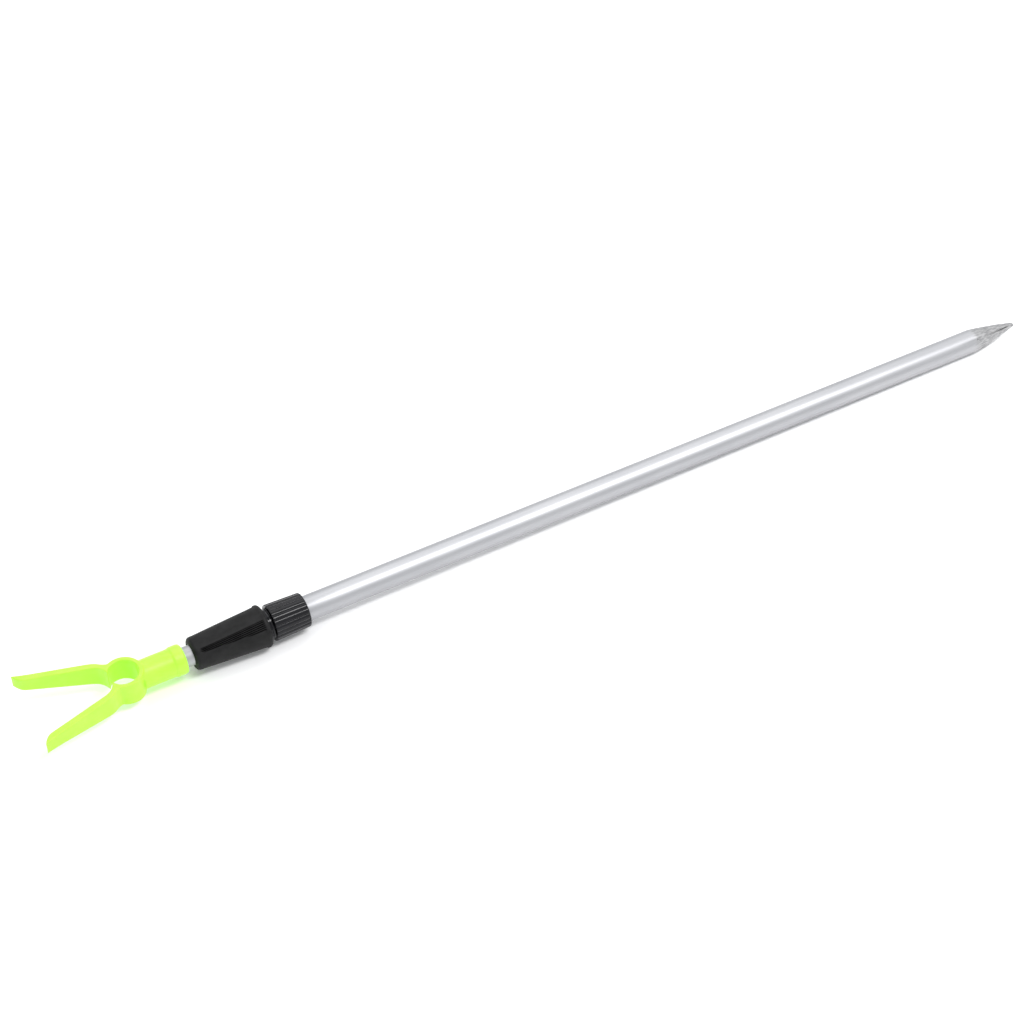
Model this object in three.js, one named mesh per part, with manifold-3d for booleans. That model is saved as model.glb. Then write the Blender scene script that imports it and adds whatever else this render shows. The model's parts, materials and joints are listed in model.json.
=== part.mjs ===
// Telescopic ground stick with a forked rod rest: a pointed outer tube, a twist-lock clamp
// (fluted body, split collet, tapered nut), a sliding inner tube on a guide bush, and a
// moulded fork head.
//
// Every piece is modelled along its own +Y, which is the distance from the tip of the ground
// point, with +Z up and X across. At the end the whole stick is laid down, fork towards -X,
// resting on the nut's rim and on the tube behind the point. Units are millimetres.

import * as THREE from 'three';
import { mergeVertices } from 'three/addons/utils/BufferGeometryUtils.js';
import Module from 'manifold-3d';

// ---------------------------------------------------------------- driving dimensions

const FIT_GAP = 0.3; // gap left between neighbouring pieces
const SLIDE_GAP = 0.2; // the same where one piece slides closely inside another
const TUBE_SIDES = 32; // facets round the tubes, with a flat one underneath
const GRIP_SIDES = 120; // facets round the clamp body and the nut
const RING_STEPS = 10; // facets round each side of the fork's ring
const CURVE_STEPS = 5;

// outer tube
const OUTER_R = 9.5;
const OUTER_BORE_R = 8.3;
const POINT_LENGTH = 41;
const POINT_TIP_R = 1.7;
const POINT_CAVITY_END = 14;
const POINT_SEAMS = 4;
const SEAM_DEPTH = 1.1;
const SEAM_ANGLE = THREE.MathUtils.degToRad(-46);

// inner tube
const INNER_R = 7.5;
const INNER_BORE_R = 6.3;

// clamp body: a fluted collar over the outer tube, then a threaded sleeve inside the nut
const COLLAR_START = 632.5;
const COLLAR_END = 659.6;
const COLLAR_R_START = 12.95;
const COLLAR_R_END = 13.9;
const COLLAR_CHAMFER = 1;
const FLUTES = 20;
const FLUTE_DEPTH = 0.55;
const FLUTE_ANGLE = THREE.MathUtils.degToRad(-49.5);
const NECK_R = 11.7;
const TUBE_STOP = 655;
const SLEEVE_END = 685;
const SLEEVE_BORE_R = INNER_R + SLIDE_GAP;
const SLEEVE_TAPER_START = 672;
const SLEEVE_MOUTH_R = 10.4;

// split collet
const COLLET_START = 676;
const COLLET_CYLINDER = 685;
const COLLET_END = 700;
const COLLET_NOSE_R = 8.2;
const COLLET_R = 10;
const COLLET_BORE_R = INNER_R + SLIDE_GAP;
const COLLET_SLIT = 1.6;

// lock nut: a cone with a round rim at its wide end
const NUT_START = 663.5;
const NUT_END = 720;
const NUT_RIM = 2.5;
const NUT_RIM_R = 16.25;
const NUT_RIM_FACETS = 24;
const NUT_R_START = 16;
const NUT_R_END = 12.15;
const NUT_NOSE_BEVEL = 2.6;
const NUT_THREAD_END = 689;
const NUT_POCKET_END = COLLET_END + FIT_GAP;
const NUT_NOSE_BORE_R = INNER_R + FIT_GAP;

// guide bush: a short plug turning in the lower end of the inner tube
const TRAVEL = 560; // how far the inner tube pulls out before the bush meets the clamp body
const BUSH_HEAD_END = TUBE_STOP - TRAVEL;
const BUSH_START = BUSH_HEAD_END - 16;
const BUSH_END = BUSH_HEAD_END + 20;
const BUSH_R = OUTER_BORE_R - SLIDE_GAP;
const BUSH_VENT_R = 2.5;

// fork head: socket, ring and two arms
const SOCKET_START = 726;
const SOCKET_END = 757.5;
const SOCKET_R = 10.4;
const BEAD_R = 11.1;
const BEAD_LENGTH = 8.5;
const SOCKET_DEPTH = 22.3;
const RING_CENTRE = 770;
const RING_R = 13.8;
const RING_BORE_R = 10.9;
const THROAT_HALF = 4.7;
const FORK_TOP = SOCKET_R;
const UNDERSIDE_AT_RING = -9;
const UNDERSIDE_SLOPE = 0.137;
const ARM_INNER = 8.7; // half-gap between the arms, carried back to the ring's centre
const ARM_INNER_SLOPE = 0.281;
const ARM_OUTER = 13.05; // half-width over the arms, carried back in the same way
const ARM_OUTER_SLOPE = 0.3;
const ARM_REACH = 68.8; // from the ring's centre to the arm tips
const ARM_TIP_HALF = 34.1;
const ARM_TIP_FLAT = 0.7;
const WAIST_HALF = RING_R * Math.cos(THREE.MathUtils.degToRad(30.5)); // where the arm leaves the ring
const SHOULDER = { start: 11, bend: 15, end: 21, startHalf: 14.4 }; // outside, ring to arm
const OUTER_TIP = { start: 57, bend: 62.5 };
const INNER_TIP = { bend: 66.4, end: 61, bendHalf: 28.6 };
const LIP = { start: 19, bend: 12.2, end: 10.9, bendHalf: 12.4 }; // inside, arm to throat

// ---------------------------------------------------------------- shaping helpers

const wasm = await Module();
wasm.setup();

const circle = (radius) => () => radius;

// A regular polygon of the given corner radius, with a flat facing straight down.
function polygon(radius, sides) {
  const step = (2 * Math.PI) / sides;
  return (angle) => {
    const turned = angle - Math.PI + step / 2;
    const within = turned - Math.floor(turned / step) * step - step / 2;
    return (radius * Math.cos(step / 2)) / Math.cos(within);
  };
}

// A closed skin through rings of [distance, radius function]; both ends close on the axis.
function loft(rings, sides) {
  const first = rings[0][0];
  const last = rings[rings.length - 1][0];
  const positions = [0, first, 0];
  for (const [distance, radiusAt] of rings) {
    for (let i = 0; i < sides; i += 1) {
      const angle = ((i + 0.5) / sides) * 2 * Math.PI;
      const radius = radiusAt(angle);
      positions.push(radius * Math.sin(angle), distance, radius * Math.cos(angle));
    }
  }
  positions.push(0, last, 0);
  const indices = [];
  const at = (ring, side) => 1 + ring * sides + (side % sides);
  const end = 1 + rings.length * sides;
  for (let i = 0; i < sides; i += 1) {
    indices.push(0, at(0, i + 1), at(0, i));
    indices.push(end, at(rings.length - 1, i), at(rings.length - 1, i + 1));
    for (let ring = 0; ring < rings.length - 1; ring += 1) {
      indices.push(at(ring, i), at(ring, i + 1), at(ring + 1, i));
      indices.push(at(ring, i + 1), at(ring + 1, i + 1), at(ring + 1, i));
    }
  }
  const geometry = new THREE.BufferGeometry();
  geometry.setAttribute('position', new THREE.Float32BufferAttribute(positions, 3));
  geometry.setIndex(indices);
  return geometry;
}

// A body turned about +Y from [distance, radius] pairs; the profile may close on itself.
function turned(profile, sides) {
  const points = profile.map(([distance, radius]) => new THREE.Vector2(radius, distance));
  return new THREE.LatheGeometry(points, sides, Math.PI / sides);
}

function toSolid(geometry) {
  const bare = geometry.clone();
  bare.deleteAttribute('normal');
  bare.deleteAttribute('uv');
  const merged = mergeVertices(bare, 1e-4);
  return new wasm.Manifold(new wasm.Mesh({
    numProp: 3,
    vertProperties: new Float32Array(merged.attributes.position.array),
    triVerts: new Uint32Array(merged.index.array),
  }));
}

function toGeometry(solid) {
  const mesh = solid.getMesh();
  const geometry = new THREE.BufferGeometry();
  geometry.setAttribute('position', new THREE.BufferAttribute(new Float32Array(mesh.vertProperties), 3));
  geometry.setIndex(new THREE.BufferAttribute(new Uint32Array(mesh.triVerts), 1));
  return geometry;
}

// A solid that comes in rings all the way round: an outer skin with its bore cut out.
function withBore(outside, bore) {
  return toGeometry(toSolid(outside).subtract(toSolid(bore)));
}

function piece(name, geometry, color, roughness, metalness) {
  const material = new THREE.MeshStandardMaterial({ color, roughness, metalness });
  const mesh = new THREE.Mesh(geometry, material);
  mesh.name = name;
  return mesh;
}

// ---------------------------------------------------------------- pieces

// The tube's end is slit and folded into four petals that meet along creased seams.
function outerTube() {
  const petals = (radius, depth) => (angle) => {
    const wave = Math.abs(Math.sin(((angle - SEAM_ANGLE) * POINT_SEAMS) / 2));
    return radius - depth * (1 - wave) ** 3;
  };
  const rings = [[0, circle(POINT_TIP_R)]];
  for (const part of [0.2, 0.4, 0.6, 0.8]) {
    const radius = THREE.MathUtils.lerp(POINT_TIP_R, OUTER_R, part);
    rings.push([part * POINT_LENGTH, petals(radius, SEAM_DEPTH * Math.sin(Math.PI * part) ** 0.5)]);
  }
  rings.push(
    [POINT_LENGTH, circle(OUTER_R)],
    [TUBE_STOP, circle(OUTER_R)],
    [TUBE_STOP, circle(OUTER_BORE_R)],
    [POINT_LENGTH + 3, circle(OUTER_BORE_R)],
    [POINT_CAVITY_END, circle(POINT_TIP_R)],
  );
  return piece('outer_tube', loft(rings, TUBE_SIDES), 0xd9dde2, 0.32, 1);
}

function innerTube() {
  const start = BUSH_HEAD_END + FIT_GAP;
  const end = SOCKET_START + SOCKET_DEPTH - FIT_GAP;
  const profile = [
    [start, INNER_BORE_R],
    [start, INNER_R],
    [end, INNER_R],
    [end, INNER_BORE_R],
    [start, INNER_BORE_R],
  ];
  return piece('inner_tube', turned(profile, TUBE_SIDES), 0xe2e5e9, 0.28, 1);
}

function guideBush() {
  const spigotR = INNER_BORE_R - FIT_GAP;
  const profile = [
    [BUSH_START, BUSH_VENT_R],
    [BUSH_START, BUSH_R - 1],
    [BUSH_START + 1, BUSH_R],
    [BUSH_HEAD_END, BUSH_R],
    [BUSH_HEAD_END, spigotR],
    [BUSH_END - 1, spigotR],
    [BUSH_END, spigotR - 1],
    [BUSH_END, BUSH_VENT_R],
    [BUSH_START, BUSH_VENT_R],
  ];
  return piece('guide_bush', turned(profile, TUBE_SIDES), 0x1c1c1e, 0.6, 0);
}

function clampBody() {
  const fluted = (radius) => (angle) => {
    const ridge = Math.abs(Math.cos(((angle - FLUTE_ANGLE) * FLUTES) / 2));
    return radius - FLUTE_DEPTH * (1 - ridge);
  };
  const outside = loft([
    [COLLAR_START, fluted(COLLAR_R_START - COLLAR_CHAMFER)],
    [COLLAR_START + COLLAR_CHAMFER, fluted(COLLAR_R_START)],
    [COLLAR_END - COLLAR_CHAMFER, fluted(COLLAR_R_END)],
    [COLLAR_END, fluted(COLLAR_R_END - COLLAR_CHAMFER)],
    [COLLAR_END, circle(NECK_R)],
    [SLEEVE_END - 1, circle(NECK_R)],
    [SLEEVE_END, circle(NECK_R - 1)],
  ], GRIP_SIDES);
  const tubeSeatR = OUTER_R + FIT_GAP;
  const shoulder = TUBE_STOP + FIT_GAP;
  const bore = turned([
    [COLLAR_START - 1, 0],
    [COLLAR_START - 1, tubeSeatR],
    [shoulder, tubeSeatR],
    [shoulder, SLEEVE_BORE_R],
    [SLEEVE_TAPER_START, SLEEVE_BORE_R],
    [SLEEVE_END, SLEEVE_MOUTH_R],
    [SLEEVE_END + 1, SLEEVE_MOUTH_R],
    [SLEEVE_END + 1, 0],
  ], TUBE_SIDES);
  return piece('clamp_body', withBore(outside, bore), 0x0c0c0e, 0.18, 0);
}

function collet() {
  const ring = turned([
    [COLLET_START, COLLET_BORE_R],
    [COLLET_START, COLLET_NOSE_R],
    [COLLET_CYLINDER, COLLET_R],
    [COLLET_END, COLLET_R],
    [COLLET_END, COLLET_BORE_R],
    [COLLET_START, COLLET_BORE_R],
  ], TUBE_SIDES);
  const slit = new THREE.BoxGeometry(COLLET_SLIT, COLLET_END - COLLET_START + 2, COLLET_R);
  slit.translate(0, (COLLET_START + COLLET_END) / 2, COLLET_R / 2 + 4);
  return piece('collet', withBore(ring, slit), 0xf0efe8, 0.45, 0);
}

function lockNut() {
  const conical = (distance) => {
    const part = (distance - NUT_START) / (NUT_END - NUT_START);
    return circle(THREE.MathUtils.lerp(NUT_R_START, NUT_R_END, part));
  };
  const rim = (radius) => polygon(radius, NUT_RIM_FACETS);
  const rimEnd = NUT_START + NUT_RIM;
  const outside = loft([
    [NUT_START, rim(NUT_RIM_R - 1.6)],
    [NUT_START + 1.3, rim(NUT_RIM_R)],
    [rimEnd, rim(NUT_RIM_R)],
    [rimEnd + 0.4, conical(rimEnd + 0.4)],
    [NUT_END - NUT_NOSE_BEVEL, conical(NUT_END - NUT_NOSE_BEVEL)],
    [NUT_END - NUT_NOSE_BEVEL / 3, circle(NUT_R_END - NUT_NOSE_BEVEL / 2.4)],
    [NUT_END, circle(NUT_R_END - NUT_NOSE_BEVEL)],
  ], GRIP_SIDES);
  const threadR = NECK_R + FIT_GAP;
  const pocketR = COLLET_R + FIT_GAP;
  const bore = turned([
    [NUT_START - 1, 0],
    [NUT_START - 1, threadR],
    [NUT_THREAD_END, threadR],
    [NUT_THREAD_END, pocketR],
    [NUT_POCKET_END, pocketR],
    [NUT_POCKET_END, NUT_NOSE_BORE_R],
    [NUT_END + 1, NUT_NOSE_BORE_R],
    [NUT_END + 1, 0],
  ], TUBE_SIDES);
  return piece('lock_nut', withBore(outside, bore), 0x2b2b2d, 0.62, 0);
}

// One side of the fork's plan, from the ring's back round to the throat, as [across, along]
// from the ring's centre; side is +1 or -1. The start and end points lie on the fork's middle.
function addForkSide(shape, side) {
  const innerAt = (along) => ARM_INNER + ARM_INNER_SLOPE * along;
  const outerAt = (along) => ARM_OUTER + ARM_OUTER_SLOPE * along;
  const bend = (x0, y0, x1, y1, x2, y2) => new THREE.QuadraticBezierCurve(
    new THREE.Vector2(x0, y0),
    new THREE.Vector2(x1, y1),
    new THREE.Vector2(x2, y2),
  );
  const back = -Math.PI / 2;
  const waistAngle = Math.acos(WAIST_HALF / RING_R);
  const out = [];
  for (let i = 0; i <= RING_STEPS; i += 1) {
    const angle = THREE.MathUtils.lerp(back, waistAngle, i / RING_STEPS);
    out.push([RING_R * Math.cos(angle), RING_R * Math.sin(angle)]);
  }
  const shoulderCurve = bend(
    SHOULDER.startHalf, SHOULDER.start,
    outerAt(SHOULDER.bend), SHOULDER.bend,
    outerAt(SHOULDER.end), SHOULDER.end,
  );
  const outerTip = bend(
    outerAt(OUTER_TIP.start), OUTER_TIP.start,
    outerAt(OUTER_TIP.bend), OUTER_TIP.bend,
    ARM_TIP_HALF, ARM_REACH,
  );
  const innerTip = bend(
    ARM_TIP_HALF - ARM_TIP_FLAT, ARM_REACH,
    INNER_TIP.bendHalf, INNER_TIP.bend,
    innerAt(INNER_TIP.end), INNER_TIP.end,
  );
  const lipCurve = bend(
    innerAt(LIP.start), LIP.start,
    LIP.bendHalf, LIP.bend,
    THROAT_HALF, LIP.end,
  );
  for (const curve of [shoulderCurve, outerTip, innerTip, lipCurve]) {
    for (const point of curve.getPoints(CURVE_STEPS)) out.push([point.x, point.y]);
  }
  const lipAngle = Math.acos(THROAT_HALF / RING_BORE_R);
  for (let i = 0; i <= RING_STEPS; i += 1) {
    const angle = THREE.MathUtils.lerp(lipAngle, back, i / RING_STEPS);
    out.push([RING_BORE_R * Math.cos(angle), RING_BORE_R * Math.sin(angle)]);
  }
  const ordered = side > 0 ? out : out.slice(1, -1).reverse();
  for (const [across, along] of ordered) {
    shape.push(new THREE.Vector2(side * across, RING_CENTRE + along));
  }
}

// Ring and arms share one level top; their underside rises evenly towards the arm ends.
function forkPlate() {
  const outline = [];
  addForkSide(outline, 1);
  addForkSide(outline, -1);
  const geometry = new THREE.ExtrudeGeometry(new THREE.Shape(outline), { depth: 1, bevelEnabled: false });
  const position = geometry.attributes.position;
  for (let i = 0; i < position.count; i += 1) {
    const underside = UNDERSIDE_AT_RING + UNDERSIDE_SLOPE * (position.getY(i) - RING_CENTRE);
    position.setZ(i, THREE.MathUtils.lerp(underside, FORK_TOP, position.getZ(i)));
  }
  return geometry;
}

function forkHead() {
  const beadEnd = SOCKET_START + BEAD_LENGTH;
  const socketBoreR = INNER_R + FIT_GAP;
  const boreEnd = SOCKET_START + SOCKET_DEPTH;
  const socket = turned([
    [boreEnd, 0],
    [boreEnd, socketBoreR],
    [SOCKET_START, socketBoreR],
    [SOCKET_START, BEAD_R - 1.2],
    [SOCKET_START + 1.2, BEAD_R],
    [beadEnd - 0.8, BEAD_R],
    [beadEnd, SOCKET_R],
    [SOCKET_END, SOCKET_R],
    [SOCKET_END, 0],
  ], TUBE_SIDES);
  const head = toSolid(socket).add(toSolid(forkPlate()));
  return piece('fork_head', toGeometry(head), 0xc8f23c, 0.4, 0);
}

// ---------------------------------------------------------------- the stick, laid down

const stick = new THREE.Group();
stick.add(outerTube(), clampBody(), collet(), lockNut(), guideBush(), innerTube(), forkHead());
stick.rotation.z = Math.PI / 2;

// It rests on a flat of the nut's rim and a flat of the tube just behind the point.
const rimRest = NUT_RIM_R * Math.cos(Math.PI / NUT_RIM_FACETS);
const tubeRest = OUTER_R * Math.cos(Math.PI / TUBE_SIDES);
const rimRestAt = NUT_START + NUT_RIM;
const laid = new THREE.Group();
laid.add(stick);
laid.rotation.y = Math.atan((rimRest - tubeRest) / (rimRestAt - POINT_LENGTH));
laid.updateMatrixWorld(true);

// The origin is the middle of the stick's box, on the ground.
const box = new THREE.Box3().setFromObject(laid, true);
laid.position.set(-(box.min.x + box.max.x) / 2, 0, -box.min.z);

export default laid;
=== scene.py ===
"""Looks for the telescopic rod-rest stick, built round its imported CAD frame.

Shapes are laid out along the stick: u is the distance from the tip of the ground point
towards the fork, y is across and z is up, all in millimetres. place() turns that into the
frame's metres.
"""

import json
import math

import bmesh
import bpy
import numpy as np
import openvdb
from mathutils import Matrix, Vector


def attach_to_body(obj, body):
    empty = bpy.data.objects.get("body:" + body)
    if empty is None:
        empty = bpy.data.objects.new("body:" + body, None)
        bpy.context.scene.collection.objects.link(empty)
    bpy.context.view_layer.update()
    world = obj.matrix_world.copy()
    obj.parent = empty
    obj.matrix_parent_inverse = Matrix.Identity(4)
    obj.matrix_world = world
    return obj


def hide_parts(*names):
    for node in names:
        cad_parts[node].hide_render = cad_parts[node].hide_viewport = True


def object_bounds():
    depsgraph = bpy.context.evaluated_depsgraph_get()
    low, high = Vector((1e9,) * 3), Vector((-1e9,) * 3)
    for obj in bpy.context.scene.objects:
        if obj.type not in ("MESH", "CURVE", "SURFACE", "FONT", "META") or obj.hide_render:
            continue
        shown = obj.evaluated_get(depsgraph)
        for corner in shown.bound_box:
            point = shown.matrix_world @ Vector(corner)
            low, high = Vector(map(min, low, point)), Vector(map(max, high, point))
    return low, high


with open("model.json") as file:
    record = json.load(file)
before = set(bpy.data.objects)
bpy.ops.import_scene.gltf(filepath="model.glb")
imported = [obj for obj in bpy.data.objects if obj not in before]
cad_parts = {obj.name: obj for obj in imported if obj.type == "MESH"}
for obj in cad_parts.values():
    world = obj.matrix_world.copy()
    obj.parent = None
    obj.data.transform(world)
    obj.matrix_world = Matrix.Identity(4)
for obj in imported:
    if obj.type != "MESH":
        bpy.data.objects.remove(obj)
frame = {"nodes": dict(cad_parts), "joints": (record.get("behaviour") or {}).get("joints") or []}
cad_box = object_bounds()

# ------------------------------------------------------------------ the stick's own axes

MM = 0.001
joints = {j["name"]: j for j in frame["joints"]}
ALONG = np.array(joints["extension"]["axis"], float)
ALONG /= np.linalg.norm(ALONG)
SIDE = np.array((0.0, 1.0, 0.0))
UP = np.cross(SIDE, ALONG)
ON_AXIS = np.array(joints["inner_turn"]["pos_m"], float)


def reach(node):
    """How far along the axis a CAD node starts and ends, in metres from ON_AXIS."""
    co = np.array([v.co for v in frame["nodes"][node].data.vertices], float)
    along = (co - ON_AXIS) @ ALONG
    return along.min(), along.max()


TIP = ON_AXIS + ALONG * reach("outer_tube")[0]


def span(node):
    """Where a CAD node starts and ends along the stick, in u."""
    shift = (ON_AXIS - TIP) @ ALONG
    start, end = reach(node)
    return (start + shift) / MM, (end + shift) / MM


def place(u, y, z):
    """Points in the frame, in metres, from stick coordinates in millimetres."""
    u, y, z = np.broadcast_arrays(u, y, z)
    return TIP + MM * (u[..., None] * ALONG + y[..., None] * SIDE + z[..., None] * UP)


TUBE_END = span("outer_tube")[1]
COLLAR_START, SLEEVE_END = span("clamp_body")
NUT_START, NUT_END = span("lock_nut")
INNER_START, INNER_END = span("inner_tube")
SOCKET_START = span("fork_head")[0]
NECK_SHOWN = 3.9  # threaded neck in view between the collar and the nut
COLLAR_END = NUT_START - NECK_SHOWN
POINT = 41  # length of the folded point

# ------------------------------------------------------------------ meshes


def finish_mesh(name, vertices, faces, sharp=40):
    """An object from points and faces, shaded smooth, with its normals facing out."""
    mesh = bpy.data.meshes.new(name)
    mesh.from_pydata(vertices.reshape(-1, 3).tolist(), [], faces)
    bm = bmesh.new()
    bm.from_mesh(mesh)
    bmesh.ops.recalc_face_normals(bm, faces=bm.faces)
    bm.to_mesh(mesh)
    bm.free()
    mesh.shade_smooth()
    mesh.set_sharp_from_angle(angle=math.radians(sharp))
    obj = bpy.data.objects.new(name, mesh)
    bpy.context.scene.collection.objects.link(obj)
    return obj


def angles(sides):
    """Angles round the stick, from straight up towards +Y."""
    return (np.arange(sides) + 0.5) / sides * 2 * math.pi


def skin(name, rings, sides, sharp=40):
    """A closed skin through rings of (u, radius); the last ring joins the first.

    A radius is a number, or an array with one value for each side.
    """
    theta = angles(sides)
    u = np.array([np.broadcast_to(ring[0], sides) for ring in rings], float)
    r = np.array([np.broadcast_to(ring[1], sides) for ring in rings], float)
    vertices = place(u, r * np.sin(theta), r * np.cos(theta))
    count = len(rings)
    faces = []
    for i in range(count):
        a, b = i * sides, (i + 1) % count * sides
        for j in range(sides):
            k = (j + 1) % sides
            faces.append((a + j, a + k, b + k, b + j))
    return finish_mesh(name, vertices, faces, sharp)


def rounded(u0, u1, radius, edge0, edge1, steps=4):
    """(u, radius) pairs of a cylinder whose two ends are rounded off."""
    turn = np.linspace(0, math.pi / 2, steps + 1)
    start = [(u0 + edge0 * (1 - math.cos(t)), radius - edge0 * (1 - math.sin(t))) for t in turn]
    end = [(u1 - edge1 * (1 - math.sin(t)), radius - edge1 * (1 - math.cos(t))) for t in turn]
    return start + end


def mark_painted_shade(obj, depth):
    """Stores how deep in a hollow each vertex lies, from 0 to 1, as the mask where the material paints
    shade darker into the hollows.
    """
    layer = obj.data.attributes.new("painted_shade", "FLOAT", "POINT")
    layer.data.foreach_set("value", np.clip(depth, 0, 1).astype(np.float32))


def attach(obj, body, node, material):
    """Gives a piece its material and lets it stand for a CAD node."""
    obj.data.materials.clear()
    obj.data.materials.append(material)
    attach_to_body(obj, body)
    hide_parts(node)


def smoothstep(x, low, high):
    t = np.clip((x - low) / (high - low), 0, 1)
    return t * t * (3 - 2 * t)


def wrapped(theta, period):
    """theta brought within half a period of zero."""
    return (theta + period / 2) % period - period / 2


# ------------------------------------------------------------------ materials


class Finish:
    """A procedural material under construction."""

    def __init__(self, name, **sockets):
        self.material = bpy.data.materials.new(name)
        self.material.use_nodes = True
        self.nodes = self.material.node_tree.nodes
        self.links = self.material.node_tree.links
        self.shader = self.nodes["Principled BSDF"]
        for socket, value in sockets.items():
            self.shader.inputs[socket.replace("_", " ")].default_value = value
        self.place = self.nodes.new("ShaderNodeTexCoord").outputs["Object"]

    def link(self, output, node, socket):
        self.links.new(output, node.inputs[socket])

    def stretched(self, scale):
        node = self.nodes.new("ShaderNodeMapping")
        node.inputs["Scale"].default_value = scale
        self.link(self.place, node, "Vector")
        return node.outputs["Vector"]

    def noise(self, scale, detail=3, roughness=0.55):
        """Fractal noise; scale is cycles per metre along x, y and z."""
        node = self.nodes.new("ShaderNodeTexNoise")
        node.inputs["Scale"].default_value = 1
        node.inputs["Detail"].default_value = detail
        node.inputs["Roughness"].default_value = roughness
        self.link(self.stretched(scale), node, "Vector")
        return node.outputs["Fac"]

    def spots(self, scale):
        """Distance to scattered points; scale is cells per metre along x, y and z."""
        node = self.nodes.new("ShaderNodeTexVoronoi")
        node.inputs["Scale"].default_value = 1
        self.link(self.stretched(scale), node, "Vector")
        return node.outputs["Distance"]

    def remap(self, value, low, high, out_low=0.0, out_high=1.0):
        node = self.nodes.new("ShaderNodeMapRange")
        self.link(value, node, "Value")
        node.inputs["From Min"].default_value = low
        node.inputs["From Max"].default_value = high
        node.inputs["To Min"].default_value = out_low
        node.inputs["To Max"].default_value = out_high
        return node.outputs["Result"]

    def math(self, operation, a, b):
        node = self.nodes.new("ShaderNodeMath")
        node.operation = operation
        for i, value in enumerate((a, b)):
            if isinstance(value, (int, float)):
                node.inputs[i].default_value = value
            else:
                self.links.new(value, node.inputs[i])
        return node.outputs[0]

    def mix(self, factor, a, b):
        """Colour a where factor is 0 and b where it is 1; each is a colour or an output."""
        node = self.nodes.new("ShaderNodeMix")
        node.data_type = "RGBA"
        self.links.new(factor, node.inputs[0])
        for socket, value in ((6, a), (7, b)):
            if isinstance(value, tuple):
                node.inputs[socket].default_value = (*value, 1)
            else:
                self.links.new(value, node.inputs[socket])
        return node.outputs[2]

    def painted_shade(self):
        """The mask of painted shade in the hollows, as stored on the mesh's points."""
        node = self.nodes.new("ShaderNodeAttribute")
        node.attribute_name = "painted_shade"
        return node.outputs["Fac"]

    def along(self):
        """The object's x coordinate, in metres."""
        node = self.nodes.new("ShaderNodeSeparateXYZ")
        self.link(self.place, node, "Vector")
        return node.outputs["X"]

    def bump(self, height, depth, strength=1.0):
        node = self.nodes.new("ShaderNodeBump")
        node.inputs["Distance"].default_value = depth
        node.inputs["Strength"].default_value = strength
        self.link(height, node, "Height")
        self.link(node.outputs["Normal"], self.shader, "Normal")


def aluminium(name, point_x=None):
    """Drawn tube: fine lines along it, a few short dark scratches, and a scuffed point."""
    f = Finish(name, Metallic=1.0)
    bright, cool = (0.45, 0.453, 0.466), (0.41, 0.414, 0.43)
    lines = f.noise((6, 1400, 1400), detail=4)
    clouds = f.noise((14, 60, 60), detail=2)
    colour = f.mix(f.remap(clouds, 0.35, 0.7), bright, cool)
    marks = f.remap(f.spots((130, 420, 420)), 0.05, 0.13, 1, 0)
    sparse = f.remap(f.noise((45, 110, 110), detail=1), 0.58, 0.62)
    scratched = f.math("MULTIPLY", marks, sparse)
    colour = f.mix(scratched, colour, (0.34, 0.36, 0.41))
    rough = f.remap(lines, 0.3, 0.7, 0.42, 0.52)
    height = lines
    if point_x is not None:
        scuff = f.remap(f.along(), point_x - 0.004, point_x + 0.002)
        grime = f.remap(f.noise((160, 900, 900), detail=5), 0.38, 0.62)
        worn = f.mix(grime, (0.30, 0.30, 0.305), (0.50, 0.50, 0.50))
        colour = f.mix(scuff, colour, worn)
        rough = f.math("ADD", rough, f.math("MULTIPLY", scuff, 0.12))
        height = f.math("ADD", lines, f.math("MULTIPLY", f.math("MULTIPLY", scuff, grime), 3.0))
    f.link(colour, f.shader, "Base Color")
    f.link(rough, f.shader, "Roughness")
    f.bump(height, 0.00002, 0.6)
    return f.material


def gloss_black():
    """Polished black moulding with faint handling marks."""
    f = Finish("gloss_black", IOR=1.5, Specular_IOR_Level=0.3)
    cloud = f.noise((120, 120, 120), detail=3)
    colour = f.mix(f.remap(cloud, 0.3, 0.7), (0.002, 0.002, 0.003), (0.005, 0.005, 0.007))
    f.link(colour, f.shader, "Base Color")
    scratches = f.noise((90, 1600, 1600), detail=4)
    f.link(f.remap(scratches, 0.35, 0.75, 0.08, 0.2), f.shader, "Roughness")
    f.bump(f.noise((420, 900, 900), detail=3), 0.00003, 0.5)
    return f.material


def matt_black():
    """Spark-textured black moulding, slightly dusty, with painted shade in the rib hollows: darker
    colour and weaker reflection there.
    """
    f = Finish("matt_black", IOR=1.45)
    dust = f.noise((140, 200, 200), detail=4)
    dusty = f.mix(f.remap(dust, 0.35, 0.75), (0.006, 0.006, 0.006), (0.014, 0.014, 0.014))
    # painted shade: deep in the rib hollows the colour goes near black and the reflection weakens
    f.link(f.mix(f.painted_shade(), dusty, (0.001, 0.001, 0.001)), f.shader, "Base Color")
    f.link(f.remap(f.painted_shade(), 0, 1, 0.23, 0.03), f.shader, "Specular IOR Level")
    grain = f.noise((3200, 3200, 3200), detail=2)
    f.link(f.remap(grain, 0.3, 0.7, 0.5, 0.68), f.shader, "Roughness")
    f.bump(grain, 0.00004, 0.6)
    return f.material


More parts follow.
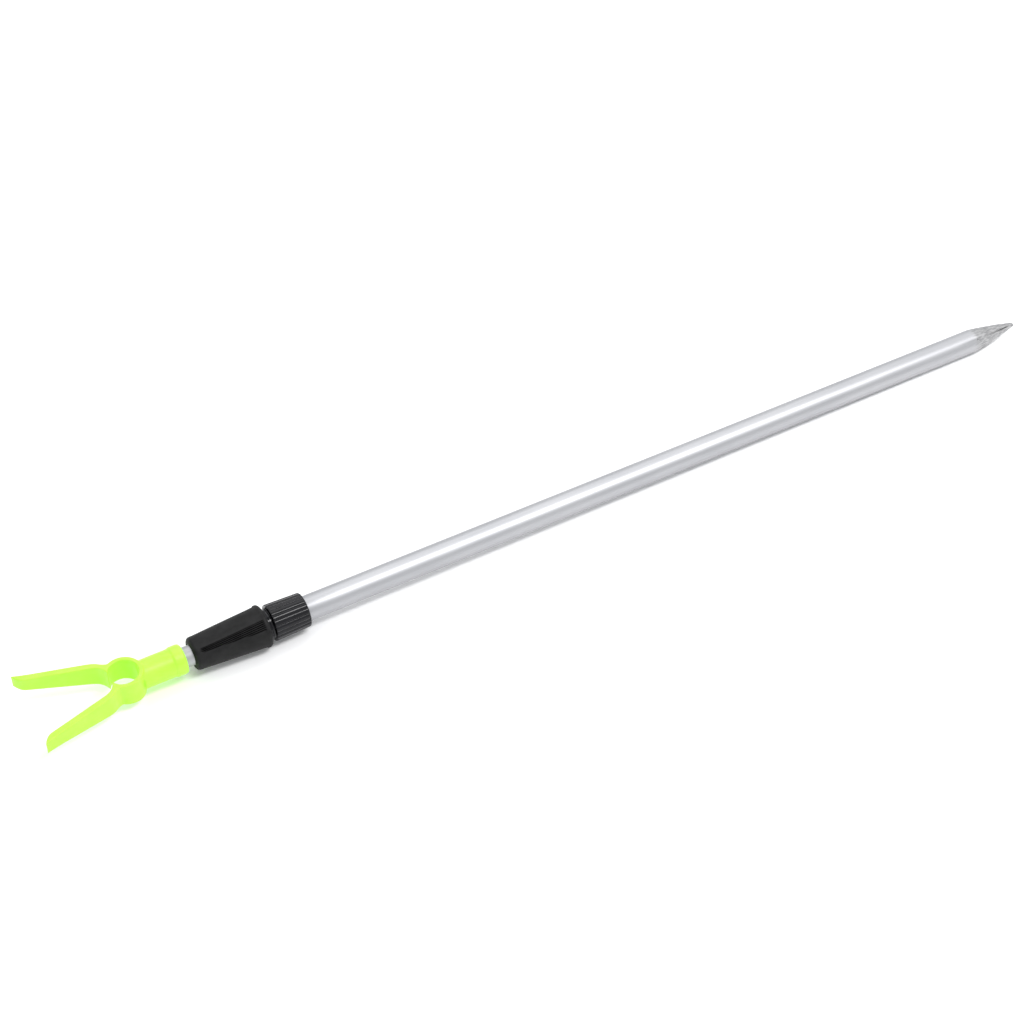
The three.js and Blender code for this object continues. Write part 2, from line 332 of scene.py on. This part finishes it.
def lime():
    """Fluorescent lime plastic: a painted glow, an emission standing in for its fluorescence, lifts its
    shaded faces, and a little light passes through it.
    """
    f = Finish("lime_plastic", IOR=1.46, Subsurface_Weight=0.35, Subsurface_Scale=0.002)
    f.shader.inputs["Subsurface Radius"].default_value = (1.0, 1.0, 0.25)
    # painted glow: a steady emission in the plastic's hue, which brightens its shaded sides
    f.shader.inputs["Emission Color"].default_value = (0.62, 0.85, 0.06, 1)
    f.shader.inputs["Emission Strength"].default_value = 0.33
    flow = f.noise((70, 110, 110), detail=3)
    colour = f.mix(f.remap(flow, 0.3, 0.7), (0.27, 0.76, 0.028), (0.315, 0.81, 0.05))
    f.link(colour, f.shader, "Base Color")
    grain = f.noise((1500, 1500, 1500), detail=2)
    f.link(f.remap(grain, 0.3, 0.7, 0.32, 0.46), f.shader, "Roughness")
    f.bump(grain, 0.00002, 0.4)
    return f.material


def plain_plastic(name, light, dark):
    """Unseen inner mouldings."""
    f = Finish(name, IOR=1.5)
    f.link(f.mix(f.noise((300, 300, 300)), light, dark), f.shader, "Base Color")
    grain = f.noise((1800, 1800, 1800), detail=2)
    f.link(f.remap(grain, 0.3, 0.7, 0.4, 0.55), f.shader, "Roughness")
    f.bump(grain, 0.00003, 0.5)
    return f.material


# ------------------------------------------------------------------ tubes

OUTER_R = 9.45
OUTER_BORE_R = 8.3
POINT_TIP_R = 1.7
SEAM = math.radians(-46)
SEAMS = 4
PETAL_BELLY = 0.35
SEAM_DEPTH = 0.95
SEAM_ROLL = 0.22  # raised lips beside each seam
NOTCH_DEPTH = 0.8  # where a slit ends at the tube
NOTCH_WIDTH = 0.9


def outer_tube():
    """The tube's end is slit four times and folded in; the petals meet along creased seams."""
    sides = 192
    theta = angles(sides)
    off_seam = wrapped(theta - SEAM, 2 * math.pi / SEAMS)
    rings = [(0.0, 0.4), (0.0, POINT_TIP_R - 0.5), (0.4, POINT_TIP_R)]
    for u in np.linspace(0.8, POINT - 0.6, 60):
        part = u / POINT
        cone = POINT_TIP_R + (OUTER_R - POINT_TIP_R) * part
        arc = off_seam * cone
        belly = PETAL_BELLY * math.sin(math.pi * part) * np.cos(2 * off_seam) ** 2
        width = 0.35 + 0.75 * smoothstep(part, 0.35, 0.95)
        deep = SEAM_DEPTH * smoothstep(part, 0.02, 0.2) * (1 - 0.35 * smoothstep(part, 0.5, 0.8))
        deep = deep * (1 - smoothstep(part, 0.93, 0.985))
        lips = np.exp(-(((np.abs(arc) - 1.6 * width) / width) ** 2))
        roll = SEAM_ROLL * lips * smoothstep(part, 0.05, 0.3)
        groove = deep * np.exp(-((arc / width) ** 2))
        fade = 1 - smoothstep(part, 0.9, 0.985)
        rings.append((u, np.minimum(cone + (belly + roll) * fade - groove, OUTER_R)))
    notch = NOTCH_DEPTH * np.exp(-((off_seam * OUTER_R / NOTCH_WIDTH) ** 2))
    rings.append((POINT - 0.25, OUTER_R - 0.06 - notch))
    rings.append((POINT + 0.3, OUTER_R - 0.5 * notch))
    rings.append((POINT + 1.2, OUTER_R))
    for u in np.linspace(POINT + 20, TUBE_END - 0.5, 12):
        rings.append((u, OUTER_R))
    rings += [(TUBE_END, OUTER_R - 0.3), (TUBE_END, OUTER_BORE_R + 0.2), (TUBE_END - 0.3, OUTER_BORE_R)]
    rings += [(POINT + 4, OUTER_BORE_R), (16, 2.0), (14, 0.4)]
    return skin("outer_tube_skin", rings, sides)


INNER_R = 7.5
INNER_BORE_R = 6.3


def inner_tube():
    rings = rounded(INNER_START, INNER_END, INNER_R, 0.25, 0.25, 2)
    rings += [(INNER_END, INNER_BORE_R), (INNER_START, INNER_BORE_R)]
    return skin("inner_tube_skin", rings, 96)


# ------------------------------------------------------------------ clamp

COLLAR_R = (12.95, 13.85)
FLUTES = 20
FLUTE = math.radians(-49)
LOBE_DEPTH = 0.35
GROOVE_DEPTH = 0.25
GROOVE_WIDTH = 0.12  # as a share of half a flute
COLLAR_EDGE = (1.2, 0.7)  # rounding at the tube's side and at the nut's side
THREAD_PITCH = 3.0
THREAD_ROOT = 11.25
THREAD_CREST = 11.8
THREAD_STEP = 0.15
SEAT_R = 9.8
SLEEVE_BORE_R = 7.7
SLEEVE_MOUTH_R = 10.4
SLEEVE_TAPER = 13
SEAT_GAP = 0.3  # between the tube's end and the clamp body's shoulder


def clamp_body():
    """A fluted collar, then a coarse thread that runs on inside the nut."""
    sides = 360
    theta = angles(sides)
    off = wrapped(theta - FLUTE, 2 * math.pi / FLUTES) / (math.pi / FLUTES)

    def fluted(u, inset):
        part = (u - COLLAR_START) / (COLLAR_END - COLLAR_START)
        radius = COLLAR_R[0] + (COLLAR_R[1] - COLLAR_R[0]) * part
        lobe = LOBE_DEPTH * off**2
        groove = GROOVE_DEPTH * np.exp(-(((np.abs(off) - 1) / GROOVE_WIDTH) ** 2))
        return radius - inset - (lobe + groove) * (1 - min(1, inset / 0.9))

    rings = [(COLLAR_START, SEAT_R + 0.2), (COLLAR_START, fluted(COLLAR_START, 1.7))]
    for t in np.linspace(0, math.pi / 2, 6):
        u = COLLAR_START + COLLAR_EDGE[0] * (1 - math.cos(t))
        rings.append((u, fluted(u, COLLAR_EDGE[0] * (1 - math.sin(t)))))
    for u in np.linspace(COLLAR_START + 2, COLLAR_END - 1.6, 12):
        rings.append((u, fluted(u, 0)))
    for t in np.linspace(0, math.pi / 2, 6):
        u = COLLAR_END - COLLAR_EDGE[1] * (1 - math.sin(t))
        rings.append((u, fluted(u, COLLAR_EDGE[1] * (1 - math.cos(t)))))
    rings += [(COLLAR_END, fluted(COLLAR_END, 1.2)), (COLLAR_END, THREAD_ROOT)]
    for u in np.arange(COLLAR_END + THREAD_STEP, SLEEVE_END - 0.2, THREAD_STEP):
        turn = wrapped(u - THREAD_PITCH * theta / (2 * math.pi), THREAD_PITCH)
        crest = (THREAD_CREST - THREAD_ROOT) * (1 - smoothstep(np.abs(turn), 0.35, 0.95))
        lead_in = smoothstep(u, COLLAR_END, COLLAR_END + 0.4)
        lead_out = 1 - smoothstep(u, SLEEVE_END - 1.2, SLEEVE_END)
        rings.append((u, THREAD_ROOT + crest * (lead_in * lead_out)))
    rings += [(SLEEVE_END, THREAD_ROOT - 0.3), (SLEEVE_END, SLEEVE_MOUTH_R)]
    rings.append((SLEEVE_END - SLEEVE_TAPER, SLEEVE_BORE_R))
    rings += [(TUBE_END + SEAT_GAP, SLEEVE_BORE_R), (TUBE_END + SEAT_GAP, SEAT_R)]
    rings.append((COLLAR_START + 0.2, SEAT_R))
    return skin("clamp_body_skin", rings, sides, sharp=30)


NUT_RIM_R = 16.0
NUT_R = (15.98, 12.1)  # the cone at the rim and at the nose
NUT_RIM_BLEND = (2.6, 4.2)  # where the rim runs over into the cone
NUT_EDGE = 2.3
NOSE_EDGE = (2.6, 3.4)  # length and depth of the rounding at the nose
BANDS = 4
BAND = math.radians(-40.5)
BAND_HALF = (math.radians(16), math.radians(6.5))
BAND_DEPTH = 0.45
BAND_START = (3.0, 4.0)  # the band fades in over this distance from the rim
BAND_END = (7, 4)  # and out over this distance from the nose
RIBS = 6
RIB_DEPTH = 0.7
RIB_WIDTH = 0.38
NUT_THREAD_R = 12.0
NUT_POCKET_R = 10.3
NUT_NOSE_R = 7.8
NUT_THREAD = SLEEVE_END + 4
NUT_POCKET = SLEEVE_END + 15.3


def lock_nut():
    """A cone with four sunk wedges of fine ribs, which narrow towards the small end."""
    sides = 1080
    theta = angles(sides)
    off_band = wrapped(theta - BAND, 2 * math.pi / BANDS)

    def cone(u):
        return NUT_R[0] + (NUT_R[1] - NUT_R[0]) * (u - NUT_START) / (NUT_END - NUT_START)

    def ribs(u):
        part = (u - NUT_START) / (NUT_END - NUT_START)
        half = BAND_HALF[0] + (BAND_HALF[1] - BAND_HALF[0]) * part
        pitch = 2 * BAND_HALF[0] / RIBS
        arc = wrapped(half - off_band, pitch) * cone(u)
        sunk = smoothstep((half - np.abs(off_band)) * cone(u), -0.15, 0.35)
        fade_in = smoothstep(u, NUT_START + BAND_START[0], NUT_START + BAND_START[1])
        fade = fade_in * (1 - smoothstep(u, NUT_END - BAND_END[0], NUT_END - BAND_END[1]))
        valley = np.exp(-((arc / RIB_WIDTH) ** 2)) * sunk * fade
        return BAND_DEPTH * sunk * fade + RIB_DEPTH * valley, valley

    rings = [(NUT_START, NUT_THREAD_R + 0.3), (NUT_START, NUT_RIM_R - NUT_EDGE - 0.2)]
    for t in np.linspace(0.1, math.pi / 2, 9):
        u = NUT_START + NUT_EDGE * (1 - math.cos(t))
        rings.append((u, NUT_RIM_R - NUT_EDGE * (1 - math.sin(t))))
    # rows of rib-valley depth, kept as the mask of painted shade in the grooves
    painted_shade_rows = np.zeros((len(rings), sides))
    for u in np.linspace(NUT_START + NUT_EDGE + 0.2, NUT_END - NOSE_EDGE[0] - 0.2, 90):
        blend = smoothstep(u, NUT_START + NUT_RIM_BLEND[0], NUT_START + NUT_RIM_BLEND[1])
        depth, valley = ribs(u)
        rings.append((u, (1 - blend) * NUT_RIM_R + blend * cone(u) - depth))
        painted_shade_rows = np.vstack([painted_shade_rows, valley])
    for t in np.linspace(0.1, math.pi / 2 - 0.05, 10):
        u = NUT_END - NOSE_EDGE[0] * (1 - math.sin(t))
        rings.append((u, cone(u) - NOSE_EDGE[1] * (1 - math.cos(t))))
    rings += [(NUT_END, NUT_NOSE_R + 0.2), (NUT_END - 0.2, NUT_NOSE_R)]
    rings += [(NUT_POCKET, NUT_NOSE_R), (NUT_POCKET, NUT_POCKET_R)]
    rings += [(NUT_THREAD, NUT_POCKET_R), (NUT_THREAD, NUT_THREAD_R), (NUT_START + 0.3, NUT_THREAD_R)]
    nut = skin("lock_nut_skin", rings, sides, sharp=50)
    # the rib valleys' depth goes to the material as the mask of painted shade
    mark_painted_shade(nut, np.vstack([painted_shade_rows, np.zeros((len(rings) - len(painted_shade_rows), sides))]).ravel())
    return nut


# ------------------------------------------------------------------ fork head

VOXEL = 0.3
RING = 44.0  # from the socket's mouth to the ring's centre
RING_OFFSET = -0.5
RING_R = (10.9, 13.85)
SOCKET_R = 10.4
BEAD_R = 11.05
BEAD_LENGTH = 8.5
SOCKET_BORE_R = 7.8
SOCKET_DEPTH = 22.3
SOCKET_MIDDLE = 28.0  # from the ring's centre back to the middle of the socket's plain part
UNDERSIDE = (-9.0, 0.137)  # z under the ring's centre, and its rise towards the tips
FORK_EDGE = 0.45
GRID = ((-RING - 2, 71), (-36, 36.01), (-13, 13.01))  # along, across and up
GRID_BAND = 3.0  # distances beyond this are all the same


def curve_through(points, steps=6):
    """A smooth line through points, as a Catmull-Rom spline."""
    p = np.array(points, float)
    p = np.vstack([2 * p[0] - p[1], p, 2 * p[-1] - p[-2]])
    out = []
    for a, b, c, d in zip(p, p[1:], p[2:], p[3:]):
        for t in np.arange(steps) / steps:
            bend = (2 * a - 5 * b + 4 * c - d) * t**2
            twist = (3 * b - 3 * c + d - a) * t**3
            out.append(0.5 * (2 * b + (c - a) * t + bend + twist))
    out.append(p[-2])
    return np.array(out)


def arc(radius, start, end, steps=40):
    """Points on the ring's circle; angles run from straight ahead (+u) to the side (+y)."""
    t = np.radians(np.linspace(start, end, steps))
    return np.column_stack([RING_OFFSET + radius * np.cos(t), radius * np.sin(t)])


def fork_outline():
    """Half of the fork's plan as (ahead of the ring's centre, across), for y of 0 and more."""
    outer = curve_through(
        [(7.0, 12.2), (10.3, 13.9), (13.4, 16.2), (17.0, 18.0), (21.0, 19.3), (25.0, 20.5)]
    )
    tip = curve_through([(56.0, 29.5), (60.0, 30.8), (64.0, 32.15), (68.4, 33.8)])
    end = curve_through(
        [(68.4, 33.5), (67.2, 31.1), (65.4, 28.6), (63.3, 26.8), (60.5, 25.75), (56.0, 24.5)]
    )
    lip = curve_through(
        [(21.0, 14.6), (17.0, 13.35), (13.5, 11.4), (10.9, 8.4), (9.7, 5.8), (9.2, 4.9), (8.7, 4.95)]
    )
    back = np.array([(-RING_R[0] - 1.5, -3.0), (-RING_R[1] - 0.9, -3.0)])
    return np.vstack([arc(RING_R[1], 180, 64), outer, tip, end, lip, arc(RING_R[0], 30, 180), back])


def distance_to_outline(x, y, outline):
    """Signed distance to a closed outline, negative inside."""
    best = np.full(x.shape, 1e9)
    inside = np.zeros(x.shape, bool)
    for (ax, ay), (bx, by) in zip(outline, np.roll(outline, -1, axis=0)):
        ex, ey = bx - ax, by - ay
        length = ex * ex + ey * ey
        if length < 1e-12:
            continue
        t = np.clip(((x - ax) * ex + (y - ay) * ey) / length, 0, 1)
        best = np.minimum(best, (x - ax - t * ex) ** 2 + (y - ay - t * ey) ** 2)
        if ay != by:
            crosses = (ay > y) != (by > y)
            inside ^= crosses & (x < ax + (y - ay) * ex / ey)
    return np.where(inside, -1, 1) * np.sqrt(best)


def both(a, b, edge):
    """Where two solids overlap, with the edges between them rounded off."""
    ax, bx = a + edge, b + edge
    return np.minimum(np.maximum(ax, bx), 0) + np.hypot(np.maximum(ax, 0), np.maximum(bx, 0)) - edge


def joined(a, b, fillet):
    """Two solids together, with a fillet between them."""
    h = np.maximum(fillet - np.abs(a - b), 0) / fillet
    return np.minimum(a, b) - h * h * fillet / 4


def fork_head():
    """Socket, ring and arms as one moulding, from the distance to its surface."""
    u, y, z = (np.arange(low, high, VOXEL, dtype=np.float32) for low, high in GRID)
    plan_u, plan_y = np.meshgrid(u, y, indexing="ij")
    plan = distance_to_outline(plan_u, np.abs(plan_y), fork_outline())[:, :, None]
    below = (UNDERSIDE[0] + UNDERSIDE[1] * u[:, None, None] - z) / math.hypot(1, UNDERSIDE[1])
    slab = both(z[None, None, :] - SOCKET_R, np.broadcast_to(below, (len(u), 1, len(z))), 0.2)
    plate = both(plan, slab, FORK_EDGE)
    radial = np.hypot(y[None, :, None], z[None, None, :])
    ahead = u[:, None, None]
    body = both(radial - SOCKET_R, np.abs(ahead + SOCKET_MIDDLE) - (RING - SOCKET_MIDDLE), 0.6)
    mouth = both(radial - BEAD_R, -(ahead + RING), 2.2)
    bead = both(mouth, ahead + RING - BEAD_LENGTH, 1.3)
    solid = joined(joined(body, bead, 0.8), plate, 1.6)
    bore = np.maximum(radial - SOCKET_BORE_R, ahead + RING - SOCKET_DEPTH)
    solid = np.maximum(solid, -bore)
    grid = openvdb.FloatGrid(GRID_BAND)
    grid.copyFromArray(np.clip(solid, -GRID_BAND, GRID_BAND).astype(np.float32))
    points, quads = grid.convertToQuads(isovalue=0.0)
    points = points * VOXEL + np.array([u[0], y[0], z[0]])
    vertices = place(SOCKET_START + RING + points[:, 0], points[:, 1], points[:, 2])
    return finish_mesh("fork_head_skin", vertices, quads.tolist(), sharp=60)


# ------------------------------------------------------------------ dress the frame

point_x = float(place(POINT, 0, 0)[0])
attach(outer_tube(), "outer", "outer_tube", aluminium("aluminium_outer", point_x))
attach(inner_tube(), "inner", "inner_tube", aluminium("aluminium_inner"))
attach(clamp_body(), "outer", "clamp_body", gloss_black())
attach(lock_nut(), "nut", "lock_nut", matt_black())
attach(fork_head(), "inner", "fork_head", lime())

for node, light, dark in (
    ("collet", (0.80, 0.79, 0.74), (0.70, 0.69, 0.63)),
    ("guide_bush", (0.030, 0.030, 0.032), (0.018, 0.018, 0.020)),
):
    cad = frame["nodes"][node]
    cad.data.materials.clear()
    cad.data.materials.append(plain_plastic(node + "_plastic", light, dark))

# ------------------------------------------------------------------ studio

FLOOR_HALF = 4  # metres

floor_mesh = bpy.data.meshes.new("floor")
corners = [(x * FLOOR_HALF, y * FLOOR_HALF, 0) for x, y in ((-1, -1), (1, -1), (1, 1), (-1, 1))]
floor_mesh.from_pydata(corners, [], [(0, 1, 2, 3)])
floor = bpy.data.objects.new("floor", floor_mesh)
bpy.context.scene.collection.objects.link(floor)
paper = Finish("paper", Roughness=0.9, IOR=1.3)
shade = paper.mix(paper.noise((3, 3, 3)), (0.93, 0.93, 0.93), (0.96, 0.96, 0.96))
paper.link(shade, paper.shader, "Base Color")
floor_mesh.materials.append(paper.material)

world = bpy.data.worlds.new("studio")
world.use_nodes = True
world.node_tree.nodes["Background"].inputs["Color"].default_value = (0.97, 0.98, 1.0, 1)
world.node_tree.nodes["Background"].inputs["Strength"].default_value = 0.9
bpy.context.scene.world = world

middle = (cad_box[0] + cad_box[1]) / 2


def softbox(name, direction, distance, width, depth, power):
    """A rectangular light in that direction from the middle of the object, lying along it."""
    light = bpy.data.lights.new(name, "AREA")
    light.shape = "RECTANGLE"
    light.size = width
    light.size_y = depth
    light.energy = power
    obj = bpy.data.objects.new(name, light)
    away = Vector(direction).normalized()
    obj.location = middle + away * distance
    lengthwise = (Vector(-ALONG) - away * away.dot(Vector(-ALONG))).normalized()
    turned = Matrix((lengthwise, away.cross(lengthwise), away)).transposed()
    obj.rotation_mode = "QUATERNION"
    obj.rotation_quaternion = turned.to_quaternion()
    bpy.context.scene.collection.objects.link(obj)


softbox("key", (0.26, -0.37, 0.89), 1.6, 1.2, 0.36, 17)
softbox("top", (0.2, 0.55, 0.85), 1.8, 2.4, 1.6, 13)

# ------------------------------------------------------------------ camera

AZIMUTH, ELEVATION = math.radians(-29.26), math.radians(45.59)  # in the stick's own axes
AIM_U = 459.4
SHIFT_RIGHT, SHIFT_UP, DISTANCE = -3.48, 8.70, 1642  # of the camera from the point it faces, in mm
back = np.array([
    math.sin(AZIMUTH) * math.cos(ELEVATION),
    -math.cos(AZIMUTH) * math.cos(ELEVATION),
    math.sin(ELEVATION),
])
right = np.array([math.cos(AZIMUTH), math.sin(AZIMUTH), 0.0])
upward = np.cross(back, right)
stick_axes = np.column_stack([-ALONG, SIDE, UP])
offset = SHIFT_RIGHT * right + SHIFT_UP * upward + DISTANCE * back
eye = place(AIM_U, 0, 0) + MM * (stick_axes @ offset)
turn = Matrix((stick_axes @ np.column_stack([right, upward, back])).tolist())

camera_data = bpy.data.cameras.new("camera")
camera_data.sensor_width = 36
camera_data.lens = 78.26
camera_data.clip_start = 0.05
camera_data.clip_end = 20
camera = bpy.data.objects.new("camera", camera_data)
camera.matrix_world = Matrix.Translation(Vector(eye)) @ turn.to_4x4()
bpy.context.scene.collection.objects.link(camera)
bpy.context.scene.camera = camera
bpy.context.scene.view_settings.view_transform = "Standard"
